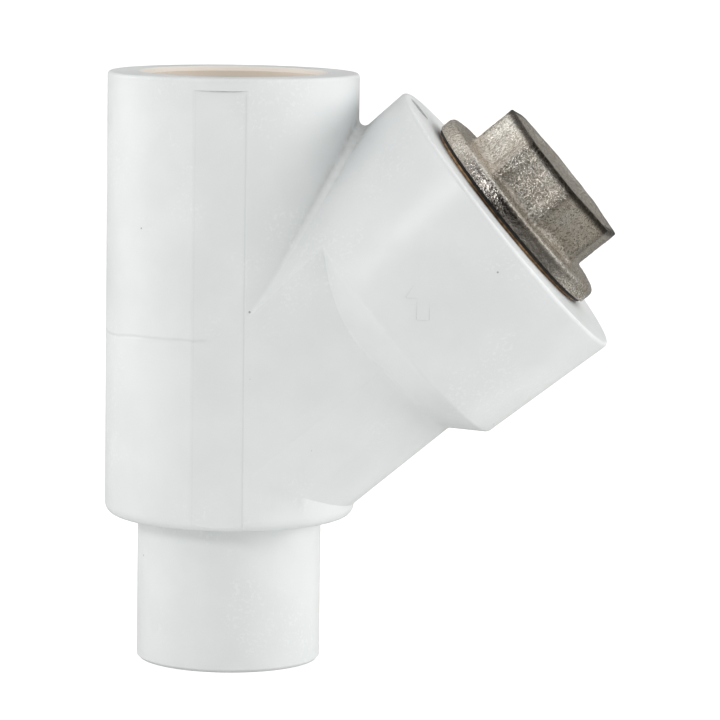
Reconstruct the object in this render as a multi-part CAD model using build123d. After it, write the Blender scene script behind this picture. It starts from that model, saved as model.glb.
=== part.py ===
from build123d import *
import os
from math import cos, hypot, pi, radians, sin, tan

# A Y strainer for 25 mm polypropylene pipe, in millimetres.
# Z runs up the barrel from the spigot's end face, the branch leans towards +X, and -Y is the front.
# The branch has its own frame: its origin is where the two axes cross, its Z runs out along the
# branch, its X points up and back over the barrel, and its Y points to the front.

# Pipe and barrel
pipe_od = 25.0              # outside diameter of the pipe, and of the spigot that a socket takes
pipe_wall = 4.2
spigot_length = 19.8
spigot_chamfer = 0.4
body_height = 80.0          # spigot's end face to socket's mouth
barrel_rim_round = 0.5
barrel_base_round = 1.6
socket_r = 12.15            # a socket is narrower than its pipe until it is heated
socket_depth = 18.0
socket_chamfer = 0.6
outlet_r = 9.5
panel_depth = 0.4           # how far the flat front and back strips cut into the barrel
panel_end = 1.6             # barrel left round above the strips

# Branch
branch_angle = 40.0         # above horizontal
crossing_height = 29.75     # height at which the branch's axis meets the barrel's
branch_length = 48.6        # crossing to the collar's face
cone_start = 24.7           # crossing to where the neck starts to widen
cone_length = 3.9
collar_wall = 5.95          # plastic round the brass insert
collar_draft = 2.4          # degrees
collar_rim_round = 0.6
cone_round = 0.8            # outer corner where cone and collar meet
crease_round = 0.8          # inner corners of the moulding
neck_wall = 5.2             # plastic round the chamber
neck_proud = 0.2            # neck's radius over the barrel's

# Screen
screen_r = 8.9              # outside of the perforated tube
support_wall = 0.5
mesh_wall = 0.3
screen_hole_r = 1.2
screen_hole_gap = 1.1       # metal left between neighbouring holes
ring_lip = 0.3              # sheet that the end rings are pressed from
ring_height = 3.0
ring_web = 0.6
chamber_gap = 3.1           # water way round the screen
seat_distance = 4.0         # crossing to the upper face of the slanted wall
seat_wall = 2.8
seat_recess = 1.0
port_r = 7.4
screen_clearance = 0.15     # end rings in the seat's recess and in the plug

# Thread, insert, plug and gasket
thread_pitch = 1.814        # 14 turns to the inch, the G 3/4 pipe thread
thread_major_r = 13.22
thread_clearance = 0.06     # between the two threads at mid-flank
insert_wall = 3.2
insert_length = 18.6
insert_proud = 0.35         # brass standing out of the collar's face
insert_lip_cover = 2.0      # plastic over the insert's outer shoulder
insert_lip_inset = 0.4      # gasket's edge to the insert's lip
insert_groove = 1.0
insert_groove_width = 2.4
insert_groove_count = 3
insert_flute_r = 0.7
insert_flute_count = 20
insert_mouth = 0.6          # countersink at the mouth of the thread
gasket_width = 2.75
gasket_thickness = 0.45
gasket_neck_gap = 0.1       # gasket to the plug's neck
flange_overhang = 0.35      # flange past the gasket
flange_edge = 2.1
flange_rise = 1.3           # the flange thickens towards the head
flange_edge_round = 0.7
head_across_flats = 21.0
head_sides = 8
head_turn = 12.0            # degrees from a corner to the branch's X
head_top = 9.1              # flange's underside to the top of the head
head_chamfer = 0.5
plug_neck_cut = 0.7         # run-out groove under the flange
plug_neck_length = 1.6
plug_thread_length = 10.4
plug_end_chamfer = 0.9
plug_floor = 4.4            # solid metal left over the screen
plug_core_r = 6.0
plug_core_floor = 4.2

# Gate mark on the collar's face
gate_r = 1.8
gate_depth = 0.35

# Flow arrow
arrow_length = 6.6
arrow_head = 4.6
arrow_shaft = 1.6
arrow_height = 0.3
arrow_from_cone = 6.9       # start of the collar to the middle of the arrow

# Derived
thread_pitch_r = thread_major_r - 0.64033 * thread_pitch / 2     # Whitworth form, at mid-flank
spigot_r = pipe_od / 2
inlet_r = spigot_r - pipe_wall
chamber_r = screen_r + chamber_gap
neck_r = chamber_r + neck_wall
barrel_r = neck_r - neck_proud
panel_y = barrel_r - panel_depth
insert_bore_r = thread_pitch_r + thread_clearance / 2
insert_r = insert_bore_r + insert_wall
collar_r = insert_r + collar_wall
collar_start = cone_start + cone_length
insert_face = branch_length + insert_proud
insert_back = insert_face - insert_length
ring_r = screen_r + ring_lip
mesh_r = screen_r - support_wall
ring_inner_r = mesh_r - mesh_wall - ring_lip
flange_face = insert_face + gasket_thickness
plug_thread_r = thread_pitch_r - thread_clearance / 2
plug_neck_r = plug_thread_r - plug_neck_cut
gasket_inner_r = plug_neck_r + gasket_neck_gap
gasket_r = gasket_inner_r + gasket_width
flange_r = gasket_r + flange_overhang
plug_end = flange_face - plug_neck_length - plug_thread_length
plug_bore_r = ring_r + screen_clearance
head_end = flange_face + head_top
screen_end = head_end - plug_core_floor - plug_floor
screen_start = seat_distance - seat_recess
screen_length = screen_end - screen_start

beta = radians(branch_angle)
branch = Plane(
    origin=(0, 0, crossing_height),
    x_dir=(-sin(beta), 0, cos(beta)),
    z_dir=(cos(beta), 0, sin(beta)),
)
far = 4 * body_height       # longer than anything that it has to cut through


def disc_between(radius, start, end):
    """A cylinder on the local Z axis from start to end."""
    return Pos(0, 0, start) * Cylinder(radius, end - start, align=(Align.CENTER, Align.CENTER, Align.MIN))


def turned(points):
    """A solid turned about the local Z axis from (radius, z) points."""
    outline = make_face(Polyline(*[(r, 0, z) for r, z in points], close=True))
    return revolve(outline, Axis.Z)


def box_between(low, high):
    """A box from its lowest to its highest corner."""
    size = [b - a for a, b in zip(low, high)]
    centre = [(a + b) / 2 for a, b in zip(low, high)]
    return Pos(*centre) * Box(*size)


def barrel():
    """The upright barrel with its spigot, and the flat strips down its front and back."""
    tube = disc_between(barrel_r, spigot_length, body_height)
    tube = fillet(tube.edges().filter_by(GeomType.CIRCLE).group_by(Axis.Z)[-1], barrel_rim_round)
    tube = fillet(tube.edges().filter_by(GeomType.CIRCLE).group_by(Axis.Z)[0], barrel_base_round)
    strip_top = body_height - panel_end
    tube -= box_between((-far, -far, -far), (far, -panel_y, strip_top))
    tube -= box_between((-far, panel_y, -far), (far, far, strip_top))
    spigot = disc_between(spigot_r, 0, spigot_length + barrel_base_round)
    spigot = chamfer(spigot.edges().filter_by(GeomType.CIRCLE).group_by(Axis.Z)[0], spigot_chamfer)
    return tube + spigot


def drafted_r(distance):
    """The collar's radius at a distance along the branch, its draft carried on below it."""
    return collar_r - (branch_length - distance) * tan(radians(collar_draft))


def neck():
    """The branch between barrel and collar: round below, full collar radius above, flat at the sides."""
    end = collar_start + 2 * cone_round
    low = disc_between(neck_r, 0, collar_start)
    high = turned([(0, 0), (drafted_r(0), 0), (drafted_r(end), end), (0, end)])
    high &= box_between((0, -far, -far), (far, far, far))
    space = box_between((0, -panel_y, spigot_length + barrel_base_round), (far, panel_y, far))
    return (branch * (low + high)) & space


def collar():
    """The widened end of the branch that holds the brass insert."""
    slope = (drafted_r(collar_start) - neck_r) / cone_length
    inside = cone_start - cone_length / 2
    ring = turned([
        (0, inside),
        (neck_r - slope * (cone_start - inside), inside),
        (drafted_r(collar_start), collar_start),
        (collar_r, branch_length),
        (0, branch_length),
    ])
    ring = fillet(ring.edges().filter_by(GeomType.CIRCLE).sort_by(Axis.Z)[-1], collar_rim_round)
    shoulder = ring.edges().filter_by(GeomType.CIRCLE).filter_by_position(
        Axis.Z, collar_start - 0.01, collar_start + 0.01
    )
    return branch * fillet(shoulder, cone_round)


def meets_barrel(edge):
    """Whether an edge runs down the barrel's side where the top of the branch leaves it."""
    middle = edge @ 0.5
    on_barrel = abs(hypot(middle.X, middle.Y) - barrel_r) < 0.001
    return on_barrel and edge.geom_type == GeomType.BSPLINE and middle.Z > crossing_height


def outside():
    """Barrel, neck and collar in one, with the inner corners rounded as the mould's are."""
    shape = barrel() + neck() + collar()
    shape = fillet(shape.edges().filter_by(meets_barrel), crease_round)
    rings = shape.edges().filter_by(GeomType.CIRCLE)
    return fillet(rings.filter_by(lambda edge: abs(edge.radius - neck_r) < 0.001), crease_round)


def flow_arrow():
    """A low arrow on the front of the collar that points the way the water goes."""
    half, tail = arrow_length / 2, arrow_length / 2 - arrow_head * 0.8
    outline = make_face(Polyline(
        (0, half),
        (arrow_head / 2, tail),
        (arrow_shaft / 2, tail),
        (arrow_shaft / 2, -half),
        (-arrow_shaft / 2, -half),
        (-arrow_shaft / 2, tail),
        (-arrow_head / 2, tail),
        close=True,
    ))
    along = collar_start + arrow_from_cone
    middle = (along * cos(beta), 0, crossing_height + along * sin(beta))
    front = Plane(origin=middle, x_dir=(1, 0, 0), z_dir=(0, -1, 0))
    shape = extrude(front * outline, far)
    top = drafted_r(collar_start) + arrow_height
    return shape & (branch * disc_between(top, collar_start, branch_length - collar_rim_round))


def waterways():
    """All of the space inside the body, and the room that the insert takes."""
    wall_low = branch * box_between((-far, -far, -far), (far, far, seat_distance - seat_wall))
    wall_high = branch * box_between((-far, -far, seat_distance), (far, far, far))
    inlet = disc_between(inlet_r, -1, body_height - socket_depth) & wall_low
    outlet = disc_between(outlet_r, crossing_height, body_height) & wall_high
    socket = disc_between(socket_r, body_height - socket_depth, body_height + 1)
    mouth = Pos(0, 0, body_height - socket_chamfer / 2 + 0.5) * Cone(
        socket_r, socket_r + socket_chamfer + 1, socket_chamfer + 1
    )
    port = branch * disc_between(port_r, seat_distance - seat_wall - 1, seat_distance + 1)
    recess = branch * disc_between(ring_r + screen_clearance, screen_start, seat_distance + 1)
    chamber = branch * disc_between(chamber_r, seat_distance, insert_back + 1)
    return inlet + outlet + socket + mouth + port + recess + chamber


def insert_envelope():
    """The outside of the brass insert, with its anchor grooves and flutes, in the branch's frame."""
    shoulder = branch_length - insert_lip_cover
    blank = disc_between(insert_r, insert_back, shoulder)
    blank += disc_between(gasket_r - insert_lip_inset, shoulder, insert_face)
    pitch = (shoulder - insert_back) / insert_groove_count
    for i in range(insert_groove_count):
        middle = insert_back + pitch * (i + 0.5)
        low, high = middle - insert_groove_width / 2, middle + insert_groove_width / 2
        blank -= disc_between(insert_r + 1, low, high) - disc_between(insert_r - insert_groove, low, high)
    flute = disc_between(insert_flute_r, insert_back - 1, shoulder + 1)
    blank -= PolarLocations(insert_r, insert_flute_count) * flute
    return blank


def gate_mark():
    """The round hollow that the mould's gate leaves in the collar's face, nearest the barrel."""
    middle = (collar_r + insert_r) / 2
    return branch * Pos(middle, 0, 0) * disc_between(gate_r, branch_length - gate_depth, far)


def body():
    """The polypropylene moulding."""
    shell = outside() + flow_arrow() - waterways() - gate_mark()
    return shell - branch * insert_envelope()


def thread_insert():
    """The nickel-plated brass bush moulded into the collar."""
    bore = disc_between(insert_bore_r, insert_back - 1, insert_face + 1)
    mouth = Pos(0, 0, insert_face - insert_mouth / 2 + 0.5) * Cone(
        insert_bore_r, insert_bore_r + insert_mouth + 1, insert_mouth + 1
    )
    return branch * (insert_envelope() - bore - mouth)


def plug():
    """The brass plug: octagonal head, flange, run-out neck and hollow threaded shank."""
    shank = turned([
        (0, plug_end),
        (plug_thread_r - plug_end_chamfer, plug_end),
        (plug_thread_r, plug_end + plug_end_chamfer),
        (plug_thread_r, flange_face - plug_neck_length),
        (plug_neck_r, flange_face - plug_neck_length),
        (plug_neck_r, flange_face),
        (flange_r, flange_face),
        (flange_r, flange_face + flange_edge),
        (head_across_flats / 2, flange_face + flange_edge + flange_rise),
        (0, flange_face + flange_edge + flange_rise),
    ])
    rim = shank.edges().filter_by(GeomType.CIRCLE).group_by(SortBy.RADIUS)[-1]
    shank = fillet(rim, flange_edge_round)
    corner_r = head_across_flats / 2 / cos(pi / head_sides)
    outline = RegularPolygon(corner_r, head_sides, rotation=head_turn)
    head = Pos(0, 0, flange_face + flange_edge) * extrude(outline, head_top - flange_edge)
    tip = Pos(0, 0, head_end - head_top / 2) * Cone(
        corner_r - head_chamfer + head_top, corner_r - head_chamfer, head_top
    )
    head &= tip
    bore = disc_between(plug_bore_r, plug_end - 1, screen_end)
    core = disc_between(plug_core_r, plug_end - 1, head_end - plug_core_floor)
    return branch * (shank + head - bore - core)


def gasket():
    """The flat rubber washer between flange and insert."""
    ring = disc_between(gasket_r, insert_face, flange_face)
    return branch * (ring - disc_between(gasket_inner_r, insert_face - 1, flange_face + 1))


def screen_support():
    """The perforated stainless tube."""
    low, high = screen_start + ring_web, screen_end - ring_web
    tube = disc_between(screen_r, low, high) - disc_between(mesh_r, low - 1, high + 1)
    first, last = screen_start + ring_height, screen_end - ring_height
    step = 2 * screen_hole_r + screen_hole_gap
    rows = int((last - first - screen_hole_gap) / step)
    around = int(2 * pi * screen_r / step)
    punch = Rot(0, 90, 0) * disc_between(screen_hole_r, 0, screen_r + 1)
    holes = []
    for row in range(rows):
        height = (first + last) / 2 + (row - (rows - 1) / 2) * step
        for i in range(around):
            turn = 360 * (i + row % 2 / 2) / around
            holes.append(Pos(0, 0, height) * Rot(0, 0, turn) * punch)
    return branch * (tube - holes)


def screen_mesh():
    """The fine woven lining of the perforated tube, as a plain thin tube."""
    low, high = screen_start + ring_web, screen_end - ring_web
    return branch * (disc_between(mesh_r, low, high) - disc_between(mesh_r - mesh_wall, low - 1, high + 1))


def end_ring(end, inward):
    """A pressed ring that holds the ends of both tubes. inward is 1 at the seat and -1 in the plug."""
    web, lip = end + inward * ring_web, end + inward * ring_height
    return branch * turned([
        (ring_inner_r, end),
        (ring_r, end),
        (ring_r, lip),
        (screen_r, lip),
        (screen_r, web),
        (mesh_r - mesh_wall, web),
        (mesh_r - mesh_wall, lip),
        (ring_inner_r, lip),
    ])


nodes = {
    "body": body(),
    "thread_insert": thread_insert(),
    "plug": plug(),
    "plug_gasket": gasket(),
    "screen_support_tube": screen_support(),
    "screen_mesh": screen_mesh(),
    "screen_seat_ring": end_ring(screen_start, 1),
    "screen_plug_ring": end_ring(screen_end, -1),
}

os.makedirs("parts", exist_ok=True)
for name, shape in nodes.items():
    export_step(Compound(children=shape.solids()), f"parts/{name}.step")
    print(name, round(shape.volume, 1), len(shape.solids()), shape.is_valid)
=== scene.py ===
import math

import bmesh
import bpy
from mathutils import Matrix, Quaternion, Vector


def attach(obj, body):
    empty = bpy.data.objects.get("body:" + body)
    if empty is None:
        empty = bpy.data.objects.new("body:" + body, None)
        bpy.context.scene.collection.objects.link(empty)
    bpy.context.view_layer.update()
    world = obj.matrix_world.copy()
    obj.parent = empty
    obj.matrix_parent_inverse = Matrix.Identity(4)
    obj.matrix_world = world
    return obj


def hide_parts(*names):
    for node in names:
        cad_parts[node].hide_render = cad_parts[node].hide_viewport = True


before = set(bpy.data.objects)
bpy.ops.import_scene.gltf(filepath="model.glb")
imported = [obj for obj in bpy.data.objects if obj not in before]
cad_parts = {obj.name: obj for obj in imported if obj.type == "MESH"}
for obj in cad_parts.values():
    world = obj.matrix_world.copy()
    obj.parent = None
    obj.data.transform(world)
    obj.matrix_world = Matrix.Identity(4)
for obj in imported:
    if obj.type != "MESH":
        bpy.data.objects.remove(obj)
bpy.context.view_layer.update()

# ---------------------------------------------------------------------------
# Body
# The real one is a single shot of white polypropylene, moulded round the brass insert. Its skin
# is satin, with a faint orange peel, flow bands, a few dark specks and the mould's witness line.

mm = 0.001
crossing_height = 29.75 * mm
branch_angle = math.radians(40)
outwards = Vector((math.cos(branch_angle), 0, math.sin(branch_angle)))
uphill = Vector((-math.sin(branch_angle), 0, math.cos(branch_angle)))
branch = Matrix((uphill, outwards.cross(uphill), outwards)).transposed().to_4x4()
branch.translation = (0, 0, crossing_height)


def select_only(piece):
    """Leaves one object selected and active."""
    bpy.ops.object.select_all(action="DESELECT")
    piece.select_set(True)
    bpy.context.view_layer.objects.active = piece


def apply_modifier(piece, kind, **settings):
    """Adds a modifier with these settings and applies it."""
    select_only(piece)
    modifier = piece.modifiers.new(kind.lower(), kind)
    for name, value in settings.items():
        setattr(modifier, name, value)
    bpy.ops.object.modifier_apply(modifier=modifier.name)


def smooth(piece, angle):
    """Smooth shading up to an angle, with the normals of large faces kept true."""
    select_only(piece)
    bpy.ops.object.shade_smooth_by_angle(angle=math.radians(angle), keep_sharp_edges=True)
    apply_modifier(piece, "WEIGHTED_NORMAL", keep_sharp=True, weight=80)


def joined_copy(node, name):
    """A copy of a CAD node as one joined-up mesh."""
    piece = bpy.data.objects.new(name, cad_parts[node].data.copy())
    bpy.context.scene.collection.objects.link(piece)
    select_only(piece)
    bpy.ops.mesh.customdata_custom_splitnormals_clear()
    bpy.ops.object.mode_set(mode="EDIT")
    bpy.ops.mesh.select_all(action="SELECT")
    bpy.ops.mesh.remove_doubles(threshold=0.001 * mm)
    bpy.ops.object.mode_set(mode="OBJECT")
    return piece


def new_material(name):
    """A material with its node tree and its Principled BSDF."""
    material = bpy.data.materials.new(name)
    material.use_nodes = True
    return material, material.node_tree, material.node_tree.nodes["Principled BSDF"]


def add_node(tree, kind, inputs=None, **settings):
    """Adds a node. inputs sets or links its sockets by name or number."""
    node = tree.nodes.new(kind)
    for name, value in settings.items():
        setattr(node, name, value)
    for name, value in (inputs or {}).items():
        if isinstance(value, bpy.types.NodeSocket):
            tree.links.new(value, node.inputs[name])
        else:
            node.inputs[name].default_value = value
    return node


def calculate(tree, operation, *values):
    """A Math node's result."""
    return add_node(tree, "ShaderNodeMath", dict(enumerate(values)), operation=operation).outputs[0]


def spread(tree, value, low, high, to_low=0.0, to_high=1.0):
    """A Map Range node's result, clamped and eased at both ends."""
    node = add_node(tree, "ShaderNodeMapRange", {
        "Value": value, "From Min": low, "From Max": high, "To Min": to_low, "To Max": to_high,
    }, interpolation_type="SMOOTHSTEP")
    return node.outputs["Result"]


def blend_colours(tree, amount, first, second):
    """A colour between two colours."""
    mix = add_node(tree, "ShaderNodeMix", {0: amount, 6: first, 7: second}, data_type="RGBA")
    return mix.outputs[2]


def tint(tree, mask, strength, colour, tinted):
    """A colour that turns to another where a mask lies, as far as a strength."""
    return blend_colours(tree, calculate(tree, "MULTIPLY", mask, strength), colour, tinted)


def raise_relief(tree, shader, relief):
    """Bump from a height in metres."""
    bump = add_node(tree, "ShaderNodeBump", {"Height": relief, "Distance": 1.0, "Strength": 1.0})
    tree.links.new(bump.outputs["Normal"], shader.inputs["Normal"])


def new_group(name, inputs, outputs):
    """A shader node group with float inputs and outputs. An input called Position is a vector."""
    tree = bpy.data.node_groups.new(name, "ShaderNodeTree")
    for socket in inputs:
        kind = "NodeSocketVector" if socket == "Position" else "NodeSocketFloat"
        tree.interface.new_socket(socket, in_out="INPUT", socket_type=kind)
    for socket in outputs:
        tree.interface.new_socket(socket, in_out="OUTPUT", socket_type="NodeSocketFloat")
    return tree, tree.nodes.new("NodeGroupInput").outputs, tree.nodes.new("NodeGroupOutput")


def use_group(tree, group, **inputs):
    """Places a group in a material."""
    return add_node(tree, "ShaderNodeGroup", inputs, node_tree=group).outputs


# Cloudy variation from 0 to 1, with patches of a given size
patches, given, result = new_group("patches", ("Position", "Size"), ("Amount",))
noise = add_node(patches, "ShaderNodeTexNoise", {
    "Vector": given["Position"],
    "Scale": calculate(patches, "DIVIDE", 1.0, given["Size"]),
    "Detail": 3.0,
})
patches.links.new(spread(patches, noise.outputs["Fac"], 0.32, 0.68), result.inputs["Amount"])

# Raw noise for fine relief, with grains of a given size
grain, given, result = new_group("grain", ("Position", "Size"), ("Height",))
noise = add_node(grain, "ShaderNodeTexNoise", {
    "Vector": given["Position"],
    "Scale": calculate(grain, "DIVIDE", 1.0, given["Size"]),
    "Detail": 2.0,
    "Roughness": 0.6,
})
grain.links.new(noise.outputs["Fac"], result.inputs["Height"])

# Small round specks: one place in a cell of a given size, kept in only a share of the cells
specks, given, result = new_group("specks", ("Position", "Size", "Share"), ("Amount",))
cells = add_node(specks, "ShaderNodeTexVoronoi", {
    "Vector": given["Position"],
    "Scale": calculate(specks, "DIVIDE", 1.0, given["Size"]),
    "Randomness": 1.0,
})
kept = add_node(specks, "ShaderNodeSeparateColor", {"Color": cells.outputs["Color"]})
size = calculate(specks, "MULTIPLY_ADD", kept.outputs["Green"], 0.035, 0.01)
dot = calculate(specks, "LESS_THAN", cells.outputs["Distance"], size)
chosen = calculate(specks, "LESS_THAN", kept.outputs["Red"], given["Share"])
specks.links.new(calculate(specks, "MULTIPLY", dot, chosen), result.inputs["Amount"])

# Darkening that gathers in inner corners within a reach, used both for dirt and for painted shade
corner_dirt_and_shade, given, result = new_group("corner_dirt_and_shade", ("Position", "Reach", "Size"), ("Amount",))
shade = add_node(corner_dirt_and_shade, "ShaderNodeAmbientOcclusion", {"Distance": given["Reach"]}, samples=8)
closed_in = spread(corner_dirt_and_shade, shade.outputs["AO"], 0.35, 0.8, 1.0, 0.0)
ragged = use_group(corner_dirt_and_shade, patches, Position=given["Position"], Size=given["Size"])
corner_dirt_and_shade.links.new(
    calculate(corner_dirt_and_shade, "MULTIPLY", closed_in, ragged["Amount"]), result.inputs["Amount"]
)

# Outer edges, seen from within the piece as corners that close in; used for painted shade along
# edges
edge_shade_lines, given, result = new_group("edge_shade_lines", ("Reach",), ("Amount",))
within = add_node(
    edge_shade_lines, "ShaderNodeAmbientOcclusion", {"Distance": given["Reach"]},
    samples=8, inside=True, only_local=True,
)
edge_shade_lines.links.new(
    spread(edge_shade_lines, within.outputs["AO"], 0.82, 0.98, 1.0, 0.0), result.inputs["Amount"]
)

plastic_white = (0.80, 0.815, 0.812, 1)
plastic_milky = (0.76, 0.782, 0.778, 1)
socket_warm = (0.82, 0.74, 0.65, 1)
witness_grey = (0.60, 0.63, 0.63, 1)
seam_grey = (0.58, 0.61, 0.61, 1)
frost_white = (0.92, 0.94, 0.94, 1)
dust_brown = (0.36, 0.31, 0.24, 1)
foot_shade_grey = (0.46, 0.48, 0.48, 1)
sheltered_shade_grey = (0.52, 0.55, 0.56, 1)
burnt_brown = (0.28, 0.25, 0.22, 1)

socket_edge = (12.3 * mm, 12.9 * mm)
socket_floor = (55 * mm, 62 * mm)
outer_skin = (13.2 * mm, 14.0 * mm)
witness_height = 45.2 * mm
witness_width = 0.35 * mm
witness_drift = 2.2 * mm
witness_end = (-2.5 * mm, -0.5 * mm)
seam_x = 3.35 * mm
seam_width = 0.16 * mm
seam_foot = (19.5 * mm, 21 * mm)
seam_top = (77.6 * mm, 78.3 * mm)
peel_height = 0.030 * mm
band_height = 0.020 * mm
blast_height = 0.012 * mm
witness_depth = 0.05 * mm
seam_depth = 0.03 * mm
flat_sides_from = 16.3 * mm

white_plastic, tree, shader = new_material("white_plastic")
place = add_node(tree, "ShaderNodeTexCoord").outputs["Object"]
axes = add_node(tree, "ShaderNodeSeparateXYZ", {"Vector": place}).outputs
cloud = use_group(tree, patches, Position=place, Size=9 * mm)["Amount"]
colour = blend_colours(tree, cloud, plastic_white, plastic_milky)

# Inside of the socket: warmer, as light that has gone through the wall
from_axis = calculate(tree, "SQRT", calculate(
    tree, "ADD", calculate(tree, "POWER", axes["X"], 2.0), calculate(tree, "POWER", axes["Y"], 2.0)
))
in_bore = spread(tree, from_axis, *socket_edge, 1.0, 0.0)
in_socket = calculate(tree, "MULTIPLY", in_bore, spread(tree, axes["Z"], *socket_floor))
colour = blend_colours(tree, in_socket, colour, socket_warm)

# Witness line round the back and left of the barrel, where two parts of the mould met
ripple = add_node(tree, "ShaderNodeTexNoise", {"Vector": place, "Scale": 60.0}).outputs["Fac"]
drift = calculate(tree, "MULTIPLY_ADD", ripple, witness_drift, -witness_drift / 2)
from_line = calculate(tree, "ABSOLUTE", calculate(
    tree, "SUBTRACT", calculate(tree, "ADD", axes["Z"], drift), witness_height
))
line = calculate(
    tree, "MULTIPLY",
    spread(tree, from_line, 0.0, witness_width, 1.0, 0.0),
    spread(tree, axes["X"], *witness_end, 1.0, 0.0),
)
colour = tint(tree, line, 0.35, colour, witness_grey)

# Fine seams down the edges of the front and back strips, darker on the branch's side


def upright_seam(centre, width):
    """A soft mask along an upright line on the front and the back of the barrel."""
    away = calculate(tree, "ABSOLUTE", calculate(tree, "SUBTRACT", axes["X"], centre))
    near = spread(tree, away, 0.0, width, 1.0, 0.0)
    above = calculate(tree, "MULTIPLY", near, spread(tree, axes["Z"], *seam_foot))
    below = spread(tree, axes["Z"], *seam_top, 1.0, 0.0)
    return calculate(tree, "MULTIPLY", above, below)


deep_seam = upright_seam(seam_x, seam_width)
faint_seam = upright_seam(-seam_x, seam_width)
seams = calculate(tree, "MULTIPLY_ADD", faint_seam, 0.25, deep_seam)
colour = tint(tree, seams, 0.38, colour, seam_grey)

# Pale frosting where the mould's fine blasting shows
blasted = use_group(tree, patches, Position=place, Size=11 * mm)["Amount"]
fine = use_group(tree, grain, Position=place, Size=0.5 * mm)["Height"]
frosted = spread(tree, blasted, 0.55, 1.0)
frosting = calculate(tree, "MULTIPLY", spread(tree, fine, 0.54, 0.64), frosted)
colour = tint(tree, frosting, 0.25, colour, frost_white)

# Dust in the inner corners, a painted shade line at the foot of raised marks, painted grey shade
# where the body shelters itself, and specks of burnt plastic
outside_bore = spread(tree, from_axis, *outer_skin)
dust = use_group(tree, corner_dirt_and_shade, Position=place, Reach=3.2 * mm, Size=1.1 * mm)["Amount"]
colour = tint(tree, calculate(tree, "MULTIPLY", dust, outside_bore), 0.6, colour, dust_brown)
# Painted shade: a grey line at the foot of raised marks, where the corner closes in
foot = use_group(tree, corner_dirt_and_shade, Position=place, Reach=0.5 * mm, Size=2.5 * mm)["Amount"]
foot = calculate(tree, "MULTIPLY", calculate(tree, "MULTIPLY", foot, 3.0), outside_bore)
colour = tint(tree, foot, 0.5, colour, foot_shade_grey)
# Painted shade: grey where the body shelters itself from the room
open_to_room = add_node(tree, "ShaderNodeAmbientOcclusion", {"Distance": 24 * mm}, samples=8)
sheltered = spread(tree, open_to_room.outputs["AO"], 0.40, 0.84, 1.0, 0.0)
sheltered_shade = calculate(tree, "MULTIPLY", sheltered, outside_bore)
colour = tint(tree, sheltered_shade, 0.42, colour, sheltered_shade_grey)
burnt = use_group(tree, specks, Position=place, Size=4 * mm, Share=0.45)["Amount"]
colour = tint(tree, burnt, 0.75, colour, burnt_brown)
tree.links.new(colour, shader.inputs["Base Color"])

# Satin skin, duller where it is frosted
gloss = spread(tree, blasted, 0.0, 1.0, 0.34, 0.46)
sparkle = calculate(tree, "MULTIPLY", calculate(tree, "SUBTRACT", fine, 0.5), blasted)
tree.links.new(calculate(tree, "MULTIPLY_ADD", sparkle, 0.5, gloss), shader.inputs["Roughness"])

# Relief: orange peel, upright flow bands, blasting, and the witness line and seams sunk in
peel = use_group(tree, grain, Position=place, Size=3.5 * mm)["Height"]
upright = add_node(tree, "ShaderNodeMapping", {"Vector": place, "Scale": (1, 1, 0.06)})
bands = use_group(tree, grain, Position=upright.outputs["Vector"], Size=2.6 * mm)["Height"]
relief = calculate(tree, "MULTIPLY", peel, peel_height)
relief = calculate(tree, "MULTIPLY_ADD", bands, band_height, relief)
relief = calculate(tree, "MULTIPLY_ADD", sparkle, blast_height, relief)
relief = calculate(tree, "MULTIPLY_ADD", line, -witness_depth, relief)
relief = calculate(tree, "MULTIPLY_ADD", seams, -seam_depth, relief)
raise_relief(tree, shader, relief)
shader.inputs["IOR"].default_value = 1.49
shader.inputs["Specular IOR Level"].default_value = 0.45

# The flat sides keep crisp edges where they meet the round parts at more than a few degrees
body = joined_copy("body", "moulded_body")
bpy.ops.object.mode_set(mode="EDIT")
bpy.ops.mesh.select_all(action="DESELECT")
bpy.ops.mesh.select_mode(type="EDGE")
shape = bmesh.from_edit_mesh(body.data)
for edge in shape.edges:
    flat_faces = [
        face for face in edge.link_faces
        if abs(face.normal.y) > 0.99999
        and abs(face.calc_center_median().y) > flat_sides_from
    ]
    if len(flat_faces) == 1 and edge.calc_face_angle(0) > math.radians(4):
        edge.select_set(True)
bmesh.update_edit_mesh(body.data)
bpy.ops.mesh.mark_sharp()
bpy.ops.object.mode_set(mode="OBJECT")
smooth(body, 32)
body.data.materials.clear()
body.data.materials.append(white_plastic)
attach(body, "root")
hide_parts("body")

# ---------------------------------------------------------------------------
# Thread insert
# A turned brass bush that the plastic is moulded round: grooves and flutes outside hold it in the
# collar, and a G 3/4 pipe thread inside takes the plug. Only its lip shows, under the gasket.

insert_face = 48.95 * mm
insert_back = insert_face - 18.6 * mm
insert_bore_filling_r = 13.6 * mm
insert_thread_mid_r = 12.6692 * mm
thread_pitch = 1.814 * mm
thread_steps = 96
flank_depth = 1.0 * mm
flank_round = 0.07 * mm
merge_within = 0.001 * mm


def boolean(piece, operation, other):
    """Cuts, joins or intersects with another object, which is then removed."""
    apply_modifier(piece, "BOOLEAN", operation=operation, object=other, solver="MANIFOLD")
    bpy.data.objects.remove(other)


def line_of_edges(name, points):
    """A line of edges through (radius, height) points, extruded from its first corner."""
    bpy.ops.object.select_all(action="DESELECT")
    bpy.ops.mesh.primitive_plane_add(size=1 * mm)
    piece = bpy.context.object
    piece.name = piece.data.name = name
    bpy.ops.object.mode_set(mode="EDIT")
    bpy.ops.mesh.select_mode(type="VERT")
    bpy.ops.mesh.select_all(action="SELECT")
    bpy.ops.mesh.merge(type="CENTER")
    bpy.ops.transform.translate(value=(points[0][0], 0, points[0][1]))
    for (r, z), (next_r, next_z) in zip(points, points[1:]):
        step = {"value": (next_r - r, 0, next_z - z)}
        bpy.ops.mesh.extrude_region_move(TRANSFORM_OT_translate=step)
    bpy.ops.object.mode_set(mode="OBJECT")
    return piece


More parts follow.
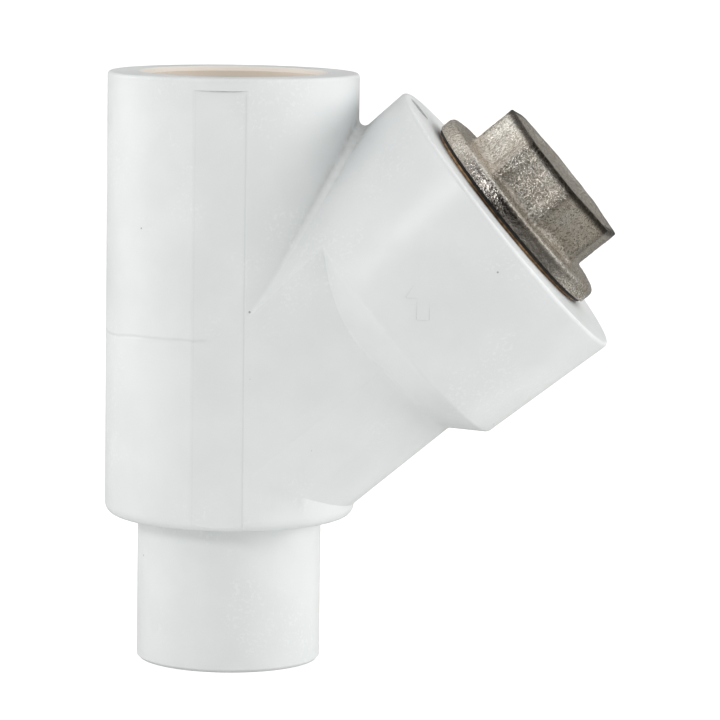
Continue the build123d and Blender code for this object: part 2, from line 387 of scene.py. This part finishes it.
def keep_between(piece, low, high):
    """Cuts a piece off square at two heights and closes the cuts."""
    select_only(piece)
    bpy.ops.object.mode_set(mode="EDIT")
    for height, below in ((low, True), (high, False)):
        bpy.ops.mesh.select_all(action="SELECT")
        bpy.ops.mesh.bisect(
            plane_co=(0, 0, height), plane_no=(0, 0, 1), use_fill=True, threshold=1e-7,
            clear_inner=below, clear_outer=not below,
        )
    bpy.ops.mesh.select_all(action="SELECT")
    bpy.ops.mesh.normals_make_consistent(inside=False)
    bpy.ops.object.mode_set(mode="OBJECT")


def threaded_rod(name, mid_r, low, high):
    """A rod with a right-hand pipe thread. Every rod's thread starts from the same line."""
    crest, root = mid_r + flank_depth / 2, mid_r - flank_depth / 2
    form = [
        (root, 0.0), (root, 0.10), (root + flank_round, 0.155), (crest - flank_round, 0.375),
        (crest, 0.43), (crest, 0.57), (crest - flank_round, 0.625), (root + flank_round, 0.845),
        (root, 0.90), (root, 1.0),
    ]
    first_turn = math.floor(low / thread_pitch) - 1
    turns = math.ceil((high - low) / thread_pitch) + 3
    rod = line_of_edges(name, [(r, (first_turn + share) * thread_pitch) for r, share in form])
    apply_modifier(
        rod, "SCREW", axis="Z", screw_offset=thread_pitch, iterations=turns, angle=math.tau,
        steps=thread_steps, render_steps=thread_steps, use_merge_vertices=True,
        merge_threshold=merge_within,
    )
    select_only(rod)
    bpy.ops.object.mode_set(mode="EDIT")
    bpy.ops.mesh.select_all(action="SELECT")
    bpy.ops.mesh.remove_doubles(threshold=merge_within)
    bpy.ops.object.mode_set(mode="OBJECT")
    keep_between(rod, low, high)
    return rod


def drum(name, radius, low, high, sides=192, top_radius=None):
    """A plain round bar on the local Z axis, for cutting and joining. top_radius makes it taper."""
    bpy.ops.object.select_all(action="DESELECT")
    bpy.ops.mesh.primitive_cone_add(
        vertices=sides, radius1=radius, radius2=top_radius or radius, depth=high - low,
        location=(0, 0, (low + high) / 2),
    )
    piece = bpy.context.object
    piece.name = piece.data.name = name
    bpy.ops.object.transform_apply(location=True, rotation=True, scale=True)
    return piece


def place_on_branch(piece):
    """Moves a piece made on the Z axis to its place on the branch."""
    piece.matrix_world = branch
    select_only(piece)
    bpy.ops.object.transform_apply(location=True, rotation=True, scale=True)


# The plain bore is filled and cut again with the real helical thread
insert = joined_copy("thread_insert", "brass_insert")
insert.matrix_world = branch.inverted()
select_only(insert)
bpy.ops.object.transform_apply(location=True, rotation=True, scale=True)
boolean(insert, "UNION", drum("bore_filling", insert_bore_filling_r, insert_back, insert_face))
boolean(insert, "DIFFERENCE", threaded_rod(
    "thread_cut", insert_thread_mid_r, insert_back - 1 * mm, insert_face + 1 * mm
))
boolean(insert, "DIFFERENCE", drum(
    "countersink", 12.5 * mm, insert_face - 0.7 * mm, insert_face + 0.3 * mm, top_radius=13.5 * mm
))
boolean(insert, "DIFFERENCE", drum(
    "lead_out", 13.3 * mm, insert_back - 0.2 * mm, insert_back + 0.8 * mm, top_radius=12.3 * mm
))
place_on_branch(insert)
smooth(insert, 34)

brass_bright = (0.55, 0.34, 0.17, 1)
brass_dull = (0.40, 0.23, 0.12, 1)
brass_grime = (0.16, 0.09, 0.05, 1)

brass, tree, shader = new_material("turned_brass")
place = add_node(tree, "ShaderNodeTexCoord").outputs["Object"]
tarnish = use_group(tree, patches, Position=place, Size=3 * mm)["Amount"]
colour = blend_colours(tree, tarnish, brass_bright, brass_dull)
corner_darkening = use_group(tree, corner_dirt_and_shade, Position=place, Reach=0.8 * mm, Size=0.8 * mm)["Amount"]
colour = blend_colours(tree, corner_darkening, colour, brass_grime)
tree.links.new(colour, shader.inputs["Base Color"])
tree.links.new(spread(tree, tarnish, 0.0, 1.0, 0.24, 0.46), shader.inputs["Roughness"])

# Turning marks run round the branch, so their noise is stretched along the cut
along = add_node(tree, "ShaderNodeMapping", {
    "Vector": place, "Rotation": (0, branch_angle - math.pi / 2, 0), "Scale": (0.02, 0.02, 1)
}, vector_type="TEXTURE").outputs["Vector"]
turning = add_node(tree, "ShaderNodeMapping", {"Vector": along, "Scale": (0.0004, 0.0004, 1)})
marks = use_group(tree, grain, Position=turning.outputs["Vector"], Size=0.16 * mm)["Height"]
pits = use_group(tree, grain, Position=place, Size=0.3 * mm)["Height"]
relief = calculate(tree, "MULTIPLY", marks, 0.006 * mm)
relief = calculate(tree, "MULTIPLY_ADD", pits, 0.010 * mm, relief)
raise_relief(tree, shader, relief)
shader.inputs["Metallic"].default_value = 1.0

insert.data.materials.clear()
insert.data.materials.append(brass)
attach(insert, "root")
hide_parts("thread_insert")

# ---------------------------------------------------------------------------
# Screen support tube and its end rings
# A tube rolled from perforated stainless sheet, with a pressed ring spot-welded on each end. The
# plug's recess holds one ring and the body's seat the other.

sheet_bright = (0.62, 0.61, 0.59, 1)
sheet_dull = (0.50, 0.48, 0.45, 1)
sheet_grime = (0.20, 0.16, 0.12, 1)

steel, tree, shader = new_material("stainless_sheet")
place = add_node(tree, "ShaderNodeTexCoord").outputs["Object"]
rolling = add_node(tree, "ShaderNodeMapping", {
    "Vector": place, "Rotation": (0, branch_angle - math.pi / 2, 0), "Scale": (1, 1, 0.03)
}).outputs["Vector"]
brushing = use_group(tree, grain, Position=rolling, Size=0.22 * mm)["Height"]
stains = use_group(tree, patches, Position=place, Size=5 * mm)["Amount"]
colour = blend_colours(tree, stains, sheet_bright, sheet_dull)
corner_darkening = use_group(tree, corner_dirt_and_shade, Position=place, Reach=0.9 * mm, Size=1.5 * mm)["Amount"]
colour = blend_colours(tree, corner_darkening, colour, sheet_grime)
tree.links.new(colour, shader.inputs["Base Color"])
tree.links.new(spread(tree, brushing, 0.3, 0.7, 0.22, 0.42), shader.inputs["Roughness"])
relief = calculate(tree, "MULTIPLY", brushing, 0.006 * mm)
raise_relief(tree, shader, relief)
shader.inputs["Metallic"].default_value = 1.0

for node in ("screen_support_tube", "screen_seat_ring", "screen_plug_ring"):
    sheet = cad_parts[node]
    sheet.data.materials.clear()
    sheet.data.materials.append(steel)

# ---------------------------------------------------------------------------
# Screen mesh
# Plain-woven stainless wire cloth that lines the perforated tube and does the straining. Round
# wires run along the tube and round it, and each passes over and under those that it crosses.

cloth_r = 8.23 * mm
cloth_low, cloth_high = 3.7 * mm, 49.2 * mm
wire_r = 0.07 * mm
wave = 0.07 * mm
long_wires = 60
ring_wires = 52
wire_sides = 4
wire_bright = (0.60, 0.58, 0.54, 1)
wire_dull = (0.42, 0.38, 0.32, 1)

ring_gap = (cloth_high - cloth_low) / ring_wires
wire_angle = math.tau / long_wires


def merge_pieces(pieces, name):
    """Joins objects into the first of them."""
    bpy.ops.object.select_all(action="DESELECT")
    for piece in pieces:
        piece.select_set(True)
    bpy.context.view_layer.objects.active = pieces[0]
    bpy.ops.object.join()
    bpy.context.object.name = bpy.context.object.data.name = name
    return bpy.context.object


def turned_copy(piece, turn, lift):
    """A copy with its own mesh, turned about the Z axis and lifted."""
    twin = piece.copy()
    twin.data = piece.data.copy()
    bpy.context.scene.collection.objects.link(twin)
    twin.matrix_world = Matrix.Translation((0, 0, lift)) @ Matrix.Rotation(turn, 4, "Z")
    select_only(twin)
    bpy.ops.object.transform_apply(location=True, rotation=True, scale=True)
    return twin


def long_wire(first_side):
    """A wire along the tube that bends in and out once for each ring that it crosses."""
    bpy.ops.object.select_all(action="DESELECT")
    bpy.ops.mesh.primitive_circle_add(
        vertices=wire_sides, radius=wire_r, fill_type="NGON",
        location=(cloth_r - first_side * wave, 0, cloth_low),
    )
    wire = bpy.context.object
    bpy.ops.object.transform_apply(location=True, rotation=True, scale=True)
    bpy.ops.object.mode_set(mode="EDIT")
    bpy.ops.mesh.select_all(action="SELECT")
    side = first_side
    for _ in range(ring_wires):
        step = {"value": (2 * side * wave, 0, ring_gap)}
        bpy.ops.mesh.extrude_region_move(TRANSFORM_OT_translate=step)
        side = -side
    bpy.ops.mesh.select_all(action="SELECT")
    bpy.ops.mesh.normals_make_consistent(inside=False)
    bpy.ops.object.mode_set(mode="OBJECT")
    return wire


def ring_wire(height):
    """A wire round the tube. Every other crossing is pushed outwards, and the rest are drawn in."""
    bpy.ops.object.select_all(action="DESELECT")
    bpy.ops.mesh.primitive_torus_add(
        major_radius=cloth_r, minor_radius=wire_r, major_segments=long_wires,
        minor_segments=wire_sides, location=(0, 0, 0),
    )
    wire = bpy.context.object
    mesh = wire.data
    for vertex in mesh.vertices:
        turn = round(math.atan2(vertex.co.y, vertex.co.x) / wire_angle)
        outward = 1 if turn % 2 else -1
        direction = Vector((vertex.co.x, vertex.co.y, 0)).normalized()
        vertex.co += direction * outward * wave
        vertex.co.z += height
    return wire


pair_of_long = [long_wire(1), long_wire(-1)]
pair_of_long[1].rotation_euler = (0, 0, wire_angle)
select_only(pair_of_long[1])
bpy.ops.object.transform_apply(location=True, rotation=True, scale=True)
wires = list(pair_of_long)
for i in range(1, long_wires // 2):
    wires += [turned_copy(wire, 2 * i * wire_angle, 0) for wire in pair_of_long]
first_ring = ring_wire(cloth_low + ring_gap)
second_ring = turned_copy(first_ring, wire_angle, ring_gap)
wires += [first_ring, second_ring]
for i in range(1, (ring_wires - 1) // 2):
    wires += [turned_copy(ring, 0, 2 * i * ring_gap) for ring in (first_ring, second_ring)]
cloth = merge_pieces(wires, "wire_cloth")
place_on_branch(cloth)
select_only(cloth)
bpy.ops.object.shade_smooth()

wire_steel, tree, shader = new_material("stainless_wire")
place = add_node(tree, "ShaderNodeTexCoord").outputs["Object"]
stains = use_group(tree, patches, Position=place, Size=4 * mm)["Amount"]
colour = blend_colours(tree, stains, wire_bright, wire_dull)
tree.links.new(colour, shader.inputs["Base Color"])
tree.links.new(spread(tree, stains, 0.0, 1.0, 0.25, 0.45), shader.inputs["Roughness"])
drawn = use_group(tree, grain, Position=place, Size=0.1 * mm)["Height"]
relief = calculate(tree, "MULTIPLY", drawn, 0.003 * mm)
raise_relief(tree, shader, relief)
shader.inputs["Metallic"].default_value = 1.0

cloth.data.materials.clear()
cloth.data.materials.append(wire_steel)
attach(cloth, "cartridge")
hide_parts("screen_mesh")

# ---------------------------------------------------------------------------
# Gasket
# A flat nitrile washer, die-cut from sheet. The plug's flange squeezes it against the insert's lip,
# so its rim bulges a little.

gasket_inner, gasket_outer = 12.009 * mm, 14.759 * mm
flange_face = 49.4 * mm
gasket_round = 0.12 * mm
rubber_black = (0.012, 0.012, 0.013, 1)
rubber_bloom = (0.035, 0.033, 0.030, 1)


def spun(name, points, steps=192):
    """A closed ring spun about the Z axis from a closed line of (radius, height) points."""
    ring = line_of_edges(name, points + points[:1])
    select_only(ring)
    bpy.ops.object.mode_set(mode="EDIT")
    bpy.ops.mesh.select_all(action="SELECT")
    bpy.ops.mesh.remove_doubles(threshold=merge_within / 2)
    bpy.ops.mesh.select_all(action="SELECT")
    bpy.ops.mesh.spin(steps=steps, angle=math.tau, center=(0, 0, 0), axis=(0, 0, 1))
    bpy.ops.mesh.select_all(action="SELECT")
    bpy.ops.mesh.remove_doubles(threshold=merge_within / 2)
    bpy.ops.mesh.normals_make_consistent(inside=False)
    bpy.ops.object.mode_set(mode="OBJECT")
    return ring


washer = spun("rubber_gasket", [
    (gasket_inner + gasket_round, insert_face),
    (gasket_outer - gasket_round, insert_face),
    (gasket_outer - 0.02 * mm, insert_face + 0.08 * mm),
    (gasket_outer, (insert_face + flange_face) / 2),
    (gasket_outer - 0.02 * mm, flange_face - 0.08 * mm),
    (gasket_outer - gasket_round, flange_face),
    (gasket_inner + gasket_round, flange_face),
    (gasket_inner, flange_face - 0.1 * mm),
    (gasket_inner, insert_face + 0.1 * mm),
])
place_on_branch(washer)
smooth(washer, 50)

rubber, tree, shader = new_material("black_rubber")
place = add_node(tree, "ShaderNodeTexCoord").outputs["Object"]
bloom = use_group(tree, patches, Position=place, Size=1.2 * mm)["Amount"]
colour = blend_colours(tree, bloom, rubber_black, rubber_bloom)
tree.links.new(colour, shader.inputs["Base Color"])
tree.links.new(spread(tree, bloom, 0.0, 1.0, 0.55, 0.75), shader.inputs["Roughness"])
talc = use_group(tree, grain, Position=place, Size=0.12 * mm)["Height"]
relief = calculate(tree, "MULTIPLY", talc, 0.008 * mm)
raise_relief(tree, shader, relief)

washer.data.materials.clear()
washer.data.materials.append(rubber)
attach(washer, "cartridge")
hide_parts("plug_gasket")

# ---------------------------------------------------------------------------
# Plug
# A brass casting, nickel plated as cast: an octagonal head with dished flats on a thick flange. Its
# hollow shank and the flange's underside are machined, and the shank has a G 3/4 thread.

flange_r = 15.109 * mm
flats = 21.0 * mm
head_end = 58.5 * mm
head_turn = math.radians(12)
flat_border = 1.25 * mm
flat_dish = 0.22 * mm
casting_voxel = 0.2 * mm
plug_end = flange_face - 12.0 * mm
plug_thread_mid_r = 12.6092 * mm
shank_r = 13.3 * mm
neck_r = 11.909 * mm
ring_recess_r = 9.35 * mm
ring_recess_end = 49.9 * mm
hollow_r = 6.0 * mm
hollow_end = 54.3 * mm
nickel_bright = (0.80, 0.765, 0.70, 1)
nickel_dull = (0.71, 0.645, 0.56, 1)
sand_shadow = (0.22, 0.20, 0.16, 1)
corner_brown = (0.14, 0.085, 0.045, 1)
edge_shade_black = (0.06, 0.05, 0.04, 1)
rim_shade_grey = (0.15, 0.135, 0.125, 1)

corner_r = flats / 2 / math.cos(math.pi / 8)
bpy.ops.object.select_all(action="DESELECT")
bpy.ops.mesh.primitive_cylinder_add(
    vertices=8, radius=corner_r, depth=head_end - flange_face - 1 * mm,
    location=(0, 0, (head_end + flange_face + 1 * mm) / 2),
)
head = bpy.context.object
head.name = head.data.name = "plug_casting"
bpy.ops.object.transform_apply(location=True, rotation=True, scale=True)


def select_faces(piece, test):
    """In edit mode, leaves only the faces that pass a test selected."""
    bpy.ops.mesh.select_all(action="DESELECT")
    bpy.ops.mesh.select_mode(type="FACE")
    shape = bmesh.from_edit_mesh(piece.data)
    for face in [face for face in shape.faces if test(face)]:
        face.select_set(True)
    shape.select_flush(True)
    bmesh.update_edit_mesh(piece.data)


def select_edges(piece, test):
    """In edit mode, leaves only the edges whose two ends pass a test selected."""
    bpy.ops.mesh.select_all(action="DESELECT")
    bpy.ops.mesh.select_mode(type="EDGE")
    shape = bmesh.from_edit_mesh(piece.data)
    for edge in shape.edges:
        if test(*[vertex.co for vertex in edge.verts]):
            edge.select_set(True)
    bmesh.update_edit_mesh(piece.data)


# Top face with the casting's shallow sunk middle, then the dished flats
bpy.ops.object.mode_set(mode="EDIT")
select_faces(head, lambda face: face.normal.z > 0.99)
bpy.ops.mesh.inset(thickness=2.6 * mm)
bpy.ops.mesh.inset(thickness=0.7 * mm, depth=-0.25 * mm)
select_faces(head, lambda face: abs(face.normal.z) < 0.2)
bpy.ops.mesh.inset(thickness=flat_border, use_individual=True)
bpy.ops.mesh.inset(thickness=0.8 * mm, depth=-flat_dish, use_individual=True)
bpy.ops.object.mode_set(mode="OBJECT")

head.rotation_euler = (0, 0, head_turn)
select_only(head)
bpy.ops.object.transform_apply(location=True, rotation=True, scale=True)

# Flange with its rounded rim, and the hollow corner that runs up to the head
flange_low = flange_face - 0.6 * mm
flange = spun("flange", [
    (1.0 * mm, flange_low),
    (flange_r, flange_low),
    (flange_r, flange_face + 1.35 * mm),
    (flange_r - 0.12 * mm, flange_face + 1.72 * mm),
    (flange_r - 0.42 * mm, flange_face + 2.02 * mm),
    (flange_r - 0.90 * mm, flange_face + 2.14 * mm),
    (13.1 * mm, flange_face + 2.18 * mm),
    (11.8 * mm, flange_face + 2.24 * mm),
    (11.1 * mm, flange_face + 2.42 * mm),
    (10.75 * mm, flange_face + 2.7 * mm),
    (10.4 * mm, flange_face + 3.1 * mm),
    (1.0 * mm, flange_face + 3.1 * mm),
], steps=128)
head = merge_pieces([head, flange], "plated_plug")
apply_modifier(head, "REMESH", mode="VOXEL", voxel_size=casting_voxel)
apply_modifier(head, "SMOOTH", factor=0.5, iterations=5)

# Cast skin: coarse lumps, and the grain of the sand
for label, lump, height in (
    ("casting_lumps", 1.6 * mm, 0.10 * mm),
    ("casting_sand", 0.42 * mm, 0.07 * mm),
):
    texture = bpy.data.textures.new(label, "CLOUDS")
    texture.noise_scale = lump
    texture.noise_depth = 1
    apply_modifier(
        head, "DISPLACE", texture=texture, texture_coords="LOCAL", strength=height, mid_level=0.8
    )

# Machined underside, recess for the screen's ring, hollow and threaded shank
keep_between(head, flange_face, head_end + 1 * mm)
shank = threaded_rod("shank", plug_thread_mid_r, plug_end, flange_face - 1.6 * mm)
blank = drum("shank_blank", shank_r, plug_end, flange_face + 1 * mm)
bpy.ops.object.mode_set(mode="EDIT")
select_edges(blank, lambda a, b: max(a.z, b.z) < plug_end + 0.01 * mm)
bpy.ops.mesh.bevel(offset=1.1 * mm, segments=1, affect="EDGES")
bpy.ops.object.mode_set(mode="OBJECT")
boolean(shank, "INTERSECT", blank)
boolean(shank, "UNION", drum("neck", neck_r, flange_face - 2.2 * mm, flange_face + 0.8 * mm))
boolean(head, "UNION", shank)
boolean(head, "DIFFERENCE", drum(
    "ring_recess", ring_recess_r, plug_end - 1 * mm, ring_recess_end, sides=128
))
boolean(head, "DIFFERENCE", drum("hollow", hollow_r, plug_end - 1 * mm, hollow_end, sides=96))
place_on_branch(head)
smooth(head, 38)

nickel, tree, shader = new_material("plated_casting")
place = add_node(tree, "ShaderNodeTexCoord").outputs["Object"]
wide = use_group(tree, patches, Position=place, Size=5 * mm)["Amount"]
sand = use_group(tree, grain, Position=place, Size=0.36 * mm)["Height"]
dust = use_group(tree, grain, Position=place, Size=0.12 * mm)["Height"]
colour = blend_colours(tree, wide, nickel_bright, nickel_dull)
deep = spread(tree, sand, 0.34, 0.5, 1.0, 0.0)
colour = tint(tree, deep, 0.6, colour, sand_shadow)
# Brown in the inner corners, round the head's foot and over the flange's top: partly dirt, partly
# painted shade
corner_darkening = use_group(tree, corner_dirt_and_shade, Position=place, Reach=2.4 * mm, Size=4 * mm)["Amount"]
colour = tint(tree, corner_darkening, 1.4, colour, corner_brown)

# Painted shade: dark lines along the head's edges, and a painted dark reflection on a smoother
# stretch of the flange's rim in front
along = add_node(tree, "ShaderNodeVectorMath", {
    0: place, 1: tuple(outwards)
}, operation="DOT_PRODUCT")
along = calculate(tree, "SUBTRACT", along.outputs["Value"], crossing_height * outwards.z)
on_head = spread(tree, along, flange_face + 3.0 * mm, flange_face + 4.0 * mm)
edges = use_group(tree, edge_shade_lines, Reach=1.1 * mm)["Amount"]
colour = tint(tree, edges, on_head, colour, edge_shade_black)
# Painted dark reflection on the front of the flange's rim, where it faces the front
rim = spread(tree, along, flange_face + 1.3 * mm, flange_face + 1.9 * mm, 1.0, 0.0)
to_side = add_node(tree, "ShaderNodeSeparateXYZ", {"Vector": place}).outputs["Y"]
rim = calculate(tree, "MULTIPLY", rim, spread(tree, to_side, -13.5 * mm, -9 * mm, 1.0, 0.0))
colour = tint(tree, rim, 0.8, colour, rim_shade_grey)
tree.links.new(colour, shader.inputs["Base Color"])

# Grains that catch the light, smaller on the rim
rough = spread(tree, sand, 0.3, 0.7, 0.32, 0.17)
tree.links.new(calculate(tree, "MULTIPLY_ADD", corner_darkening, 0.25, rough), shader.inputs["Roughness"])
relief = calculate(tree, "MULTIPLY", sand, 0.24 * mm)
relief = calculate(tree, "MULTIPLY_ADD", dust, 0.03 * mm, relief)
relief = calculate(tree, "MULTIPLY", relief, calculate(tree, "MULTIPLY_ADD", rim, -0.7, 1.0))
raise_relief(tree, shader, relief)
shader.inputs["Metallic"].default_value = 1.0

head.data.materials.clear()
head.data.materials.append(nickel)
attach(head, "plug")
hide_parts("plug")

# ---------------------------------------------------------------------------
# Floor
# A sheet of matt white paper that lies flat under the part and curves up well behind it.

bpy.ops.object.select_all(action="DESELECT")
bpy.ops.mesh.primitive_plane_add(size=2.4, location=(0, -0.55, 0))
paper = bpy.context.object
paper.name = paper.data.name = "paper_floor"
bpy.ops.object.transform_apply(location=True, rotation=True, scale=True)
bpy.ops.object.mode_set(mode="EDIT")
select_edges(paper, lambda a, b: min(a.y, b.y) > 0.6)
for turn in range(1, 13):
    tilt = math.radians(turn * 7.5 - 3.75)
    step = {"value": (0, 0.05 * math.cos(tilt), 0.05 * math.sin(tilt))}
    bpy.ops.mesh.extrude_region_move(TRANSFORM_OT_translate=step)
bpy.ops.mesh.extrude_region_move(TRANSFORM_OT_translate={"value": (0, 0, 0.9)})
bpy.ops.object.mode_set(mode="OBJECT")
bpy.ops.object.shade_smooth()
paper_white, tree, shader = new_material("paper_white")
shader.inputs["Roughness"].default_value = 0.9
shader.inputs["Emission Color"].default_value = (1, 1, 1, 1)
ray = add_node(tree, "ShaderNodeLightPath").outputs
tree.links.new(
    calculate(tree, "MULTIPLY", ray["Is Camera Ray"], 0.45), shader.inputs["Emission Strength"]
)
tree.links.new(
    blend_colours(tree, ray["Is Glossy Ray"], (0.93, 0.93, 0.925, 1), (0.34, 0.33, 0.31, 1)),
    shader.inputs["Base Color"],
)
paper.data.materials.append(paper_white)

# ---------------------------------------------------------------------------
# Light
# Soft boxes at both sides and a small one high in front, in a white room that is dimmer behind
# the camera, more so in what metal mirrors. The right box is kept out of reflections.

middle = Vector((0.018, 0, 0.041))
for label, spot, width, power in (
    ("left_box", (-0.62, 0.10, 0.22), 0.4, 0.9),
    ("right_box", (0.70, 0.06, 0.12), 0.4, 2.6),
    ("front_box", (-0.42, -0.61, 0.42), 0.16, 1.3),
):
    lamp_data = bpy.data.lights.new(label, "AREA")
    lamp_data.energy = power
    lamp_data.size = width
    lamp = bpy.data.objects.new(label, lamp_data)
    lamp.location = spot
    lamp.visible_glossy = label != "right_box"
    lamp.rotation_mode = "QUATERNION"
    lamp.rotation_quaternion = (middle - Vector(spot)).to_track_quat("-Z", "Y")
    bpy.context.scene.collection.objects.link(lamp)

room = bpy.data.worlds.new("white_room")
bpy.context.scene.world = room
room.use_nodes = True
tree = room.node_tree
direction = add_node(tree, "ShaderNodeTexCoord").outputs["Generated"]
towards = add_node(tree, "ShaderNodeSeparateXYZ", {"Vector": direction}).outputs
soft_light = calculate(
    tree, "MULTIPLY",
    spread(tree, towards["Y"], -1.0, 0.2, 0.60, 0.95),
    spread(tree, towards["Z"], -0.1, 0.9, 1.06, 0.84),
)
from_left = spread(tree, towards["X"], -0.9, 0.5, 0.86, 1.08)
soft_light = calculate(tree, "MULTIPLY", soft_light, from_left)
mirrored = spread(tree, towards["Y"], -0.80, 0.05, 0.03, 1.05)
glossy_ray = add_node(tree, "ShaderNodeLightPath").outputs["Is Glossy Ray"]
strength = add_node(tree, "ShaderNodeMix", {0: glossy_ray, 2: soft_light, 3: mirrored}).outputs[0]
tree.links.new(strength, tree.nodes["Background"].inputs["Strength"])
tree.nodes["Background"].inputs["Color"].default_value = (1, 1, 1, 1)

# ---------------------------------------------------------------------------
# Camera
# Level with the top of the part, a long lens, a little to the right of square on.

distance = 574.2 * mm
azimuth = math.radians(5.7)
roll = math.radians(0.817)
aim = Vector((17.59 * mm, 0, 41.2 * mm))
spot = Vector((distance * math.sin(azimuth), -distance * math.cos(azimuth), 113.5 * mm))
camera_data = bpy.data.cameras.new("camera")
camera_data.lens = 212.8
camera_data.sensor_width = 36
camera_data.clip_start = 0.01
camera = bpy.data.objects.new("camera", camera_data)
camera.rotation_mode = "QUATERNION"
camera.location = spot
camera.rotation_quaternion = (aim - spot).to_track_quat("-Z", "Y") @ Quaternion((0, 0, 1), roll)
bpy.context.scene.collection.objects.link(camera)
bpy.context.scene.camera = camera
bpy.context.scene.view_settings.view_transform = "Standard"
